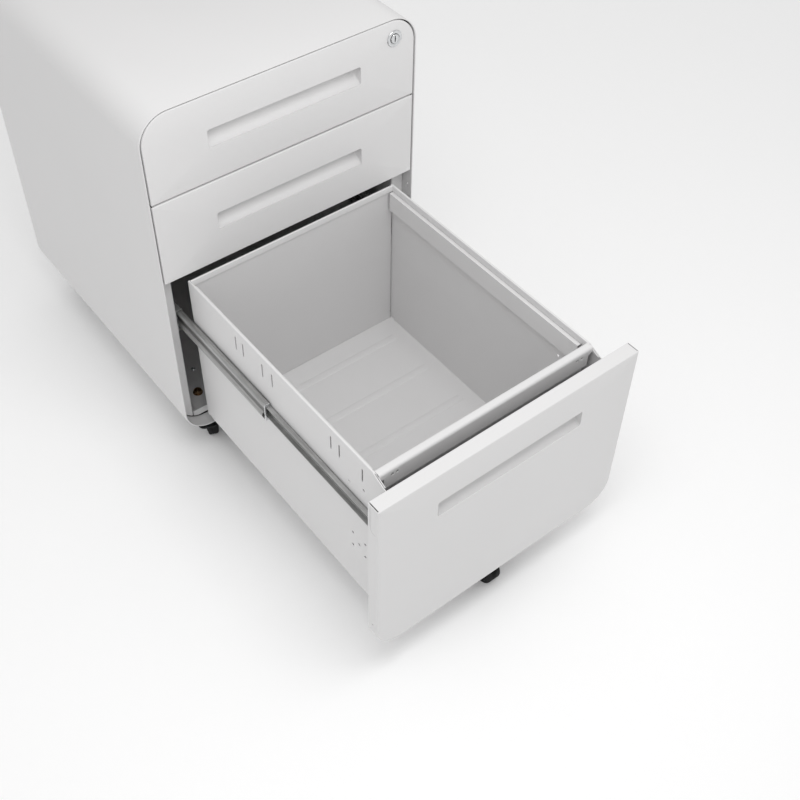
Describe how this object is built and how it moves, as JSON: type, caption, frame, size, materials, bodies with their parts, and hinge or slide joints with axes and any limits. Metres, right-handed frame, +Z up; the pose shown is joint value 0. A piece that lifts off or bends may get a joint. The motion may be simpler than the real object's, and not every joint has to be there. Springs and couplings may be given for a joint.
{
  "type": "filing cabinet",
  "caption": "Mobile pedestal filing cabinet in folded steel with box drawers over a hanging-file drawer, recessed pulls, ball-bearing slides, lock and casters.",
  "frame": {"origin": "floor level, centred under the bounding box at rest, with the file drawer fully open", "axes": "+X to the cabinet's right seen from the front, +Y to its back, +Z up; the open file drawer's front faces -Y"},
  "size_m": [0.39, 0.88, 0.58],
  "materials": {
    "white_paint": "fine powder coat, satin white",
    "slide_steel": "bright zinc-plated rolled steel",
    "zinc_plate": "dull zinc-plated sheet",
    "black_plastic": "fine matte moulded black",
    "black_metal": "black plated pressed steel",
    "caster_tread": "matte black tread",
    "lock_chrome": "polished chrome plate",
    "insert_brass": "yellow-passivated threaded insert"
  },
  "bodies": {
    "cabinet": {"casing_shell": "white_paint", "back_panel": "white_paint", "bottom_rail": "white_paint", "top_rail": "white_paint", "front_post_left": "white_paint", "rear_post_left": "zinc_plate", "front_post_right": "white_paint", "rear_post_right": "zinc_plate", "file_outer_slide_left": "slide_steel", "file_outer_slide_right": "slide_steel", "middle_outer_slide_left": "slide_steel", "middle_outer_slide_right": "slide_steel", "top_outer_slide_left": "slide_steel", "top_outer_slide_right": "slide_steel", "caster_plate_front_left": "black_metal", "caster_plate_rear_left": "black_metal", "caster_plate_front_right": "black_metal", "caster_plate_rear_right": "black_metal"},
    "file_drawer": {"file_front": "white_paint", "file_pull": "white_paint", "file_tray": "white_paint", "file_back_wall": "white_paint", "file_inner_wall": "white_paint", "file_inner_slide_left": "slide_steel", "file_inner_slide_right": "slide_steel", "fifth_wheel_bracket": "black_plastic"},
    "file_middle_slide_left": {"file_middle_slide_left": "slide_steel"},
    "file_middle_slide_right": {"file_middle_slide_right": "slide_steel"},
    "middle_drawer": {"middle_front": "white_paint", "middle_pull": "white_paint", "middle_tray": "white_paint", "middle_back_wall": "white_paint", "middle_inner_wall": "white_paint", "middle_inner_slide_left": "slide_steel", "middle_inner_slide_right": "slide_steel"},
    "middle_middle_slide_left": {"middle_middle_slide_left": "slide_steel"},
    "middle_middle_slide_right": {"middle_middle_slide_right": "slide_steel"},
    "top_drawer": {"top_front": "white_paint", "top_pull": "white_paint", "top_tray": "white_paint", "top_back_wall": "white_paint", "top_inner_wall": "white_paint", "top_inner_slide_left": "slide_steel", "top_inner_slide_right": "slide_steel", "lock_barrel": "lock_chrome"},
    "top_middle_slide_left": {"top_middle_slide_left": "slide_steel"},
    "top_middle_slide_right": {"top_middle_slide_right": "slide_steel"},
    "lock_plug": {"lock_plug": "lock_chrome"},
    "lock_bar": {"lock_bar": "zinc_plate"},
    "fifth_wheel": {"fifth_wheel": "caster_tread"},
    "caster_fork_front_left": {"caster_fork_front_left": "black_plastic"},
    "caster_wheel_front_left": {"caster_wheel_front_left": "caster_tread"},
    "caster_fork_rear_left": {"caster_fork_rear_left": "black_plastic"},
    "caster_wheel_rear_left": {"caster_wheel_rear_left": "caster_tread"},
    "brake_pedal_left": {"brake_pedal_left": "black_plastic"},
    "caster_fork_front_right": {"caster_fork_front_right": "black_plastic"},
    "caster_wheel_front_right": {"caster_wheel_front_right": "caster_tread"},
    "caster_fork_rear_right": {"caster_fork_rear_right": "black_plastic"},
    "caster_wheel_rear_right": {"caster_wheel_rear_right": "caster_tread"},
    "brake_pedal_right": {"brake_pedal_right": "black_plastic"}
  },
  "joints": [
    {"name": "file_drawer_slide", "type": "slide", "parent": "cabinet", "child": "file_drawer", "axis": [0, -1, 0], "range_m": [-0.428, 0]},
    {"name": "file_middle_slide_left_travel", "type": "slide", "parent": "cabinet", "child": "file_middle_slide_left", "axis": [0, -1, 0], "range_m": [-0.214, 0]},
    {"name": "file_middle_slide_right_travel", "type": "slide", "parent": "cabinet", "child": "file_middle_slide_right", "axis": [0, -1, 0], "range_m": [-0.214, 0]},
    {"name": "middle_drawer_slide", "type": "slide", "parent": "cabinet", "child": "middle_drawer", "axis": [0, -1, 0], "range_m": [0, 0.428]},
    {"name": "middle_middle_slide_left_travel", "type": "slide", "parent": "cabinet", "child": "middle_middle_slide_left", "axis": [0, -1, 0], "range_m": [0, 0.214]},
    {"name": "middle_middle_slide_right_travel", "type": "slide", "parent": "cabinet", "child": "middle_middle_slide_right", "axis": [0, -1, 0], "range_m": [0, 0.214]},
    {"name": "top_drawer_slide", "type": "slide", "parent": "cabinet", "child": "top_drawer", "axis": [0, -1, 0], "range_m": [0, 0.428]},
    {"name": "top_middle_slide_left_travel", "type": "slide", "parent": "cabinet", "child": "top_middle_slide_left", "axis": [0, -1, 0], "range_m": [0, 0.214]},
    {"name": "top_middle_slide_right_travel", "type": "slide", "parent": "cabinet", "child": "top_middle_slide_right", "axis": [0, -1, 0], "range_m": [0, 0.214]},
    {"name": "lock_bar_lift", "type": "slide", "parent": "cabinet", "child": "lock_bar", "axis": [0, 0, 1], "range_m": [0, 0.008]},
    {"name": "lock_turn", "type": "hinge", "parent": "top_drawer", "child": "lock_plug", "pos_m": [0.16, 0, 0.553], "axis": [0, 1, 0], "range_deg": [0, 90]},
    {"name": "fifth_wheel_roll", "type": "hinge", "parent": "file_drawer", "child": "fifth_wheel", "pos_m": [0.009, -0.409, 0.02], "axis": [1, 0, 0], "continuous": true},
    {"name": "swivel_front_left", "type": "hinge", "parent": "cabinet", "child": "caster_fork_front_left", "pos_m": [-0.136, 0.04, 0.05], "axis": [0, 0, 1], "continuous": true},
    {"name": "roll_front_left", "type": "hinge", "parent": "caster_fork_front_left", "child": "caster_wheel_front_left", "pos_m": [-0.14216, 0.02309, 0.02], "axis": [0.9397, -0.342, 0], "continuous": true},
    {"name": "swivel_rear_left", "type": "hinge", "parent": "cabinet", "child": "caster_fork_rear_left", "pos_m": [-0.136, 0.396, 0.05], "axis": [0, 0, 1], "continuous": true},
    {"name": "roll_rear_left", "type": "hinge", "parent": "caster_fork_rear_left", "child": "caster_wheel_rear_left", "pos_m": [-0.1385, 0.37817, 0.02], "axis": [0.9903, -0.1392, 0], "continuous": true},
    {"name": "brake_left", "type": "hinge", "parent": "caster_fork_front_left", "child": "brake_pedal_left", "pos_m": [-0.14626, 0.01181, 0.042], "axis": [0.9397, -0.342, 0], "range_deg": [0, 12]},
    {"name": "swivel_front_right", "type": "hinge", "parent": "cabinet", "child": "caster_fork_front_right", "pos_m": [0.136, 0.04, 0.05], "axis": [0, 0, 1], "continuous": true},
    {"name": "roll_front_right", "type": "hinge", "parent": "caster_fork_front_right", "child": "caster_wheel_front_right", "pos_m": [0.13974, 0.02239, 0.02], "axis": [0.9781, 0.2079, 0], "continuous": true},
    {"name": "swivel_rear_right", "type": "hinge", "parent": "cabinet", "child": "caster_fork_rear_right", "pos_m": [0.136, 0.396, 0.05], "axis": [0, 0, 1], "continuous": true},
    {"name": "roll_rear_right", "type": "hinge", "parent": "caster_fork_rear_right", "child": "caster_wheel_rear_right", "pos_m": [0.14096, 0.3787, 0.02], "axis": [0.9613, 0.2756, 0], "continuous": true},
    {"name": "brake_right", "type": "hinge", "parent": "caster_fork_front_right", "child": "brake_pedal_right", "pos_m": [0.14224, 0.01066, 0.042], "axis": [0.9781, 0.2079, 0], "range_deg": [0, 12]}
  ],
  "couplings": [
    {"joint": "file_middle_slide_left_travel", "follows": "file_drawer_slide", "ratio": 0.5},
    {"joint": "file_middle_slide_right_travel", "follows": "file_drawer_slide", "ratio": 0.5},
    {"joint": "middle_middle_slide_left_travel", "follows": "middle_drawer_slide", "ratio": 0.5},
    {"joint": "middle_middle_slide_right_travel", "follows": "middle_drawer_slide", "ratio": 0.5},
    {"joint": "top_middle_slide_left_travel", "follows": "top_drawer_slide", "ratio": 0.5},
    {"joint": "top_middle_slide_right_travel", "follows": "top_drawer_slide", "ratio": 0.5},
    {"joint": "lock_turn", "follows": "lock_bar_lift", "rad_per_m": 196.3}
  ]
}
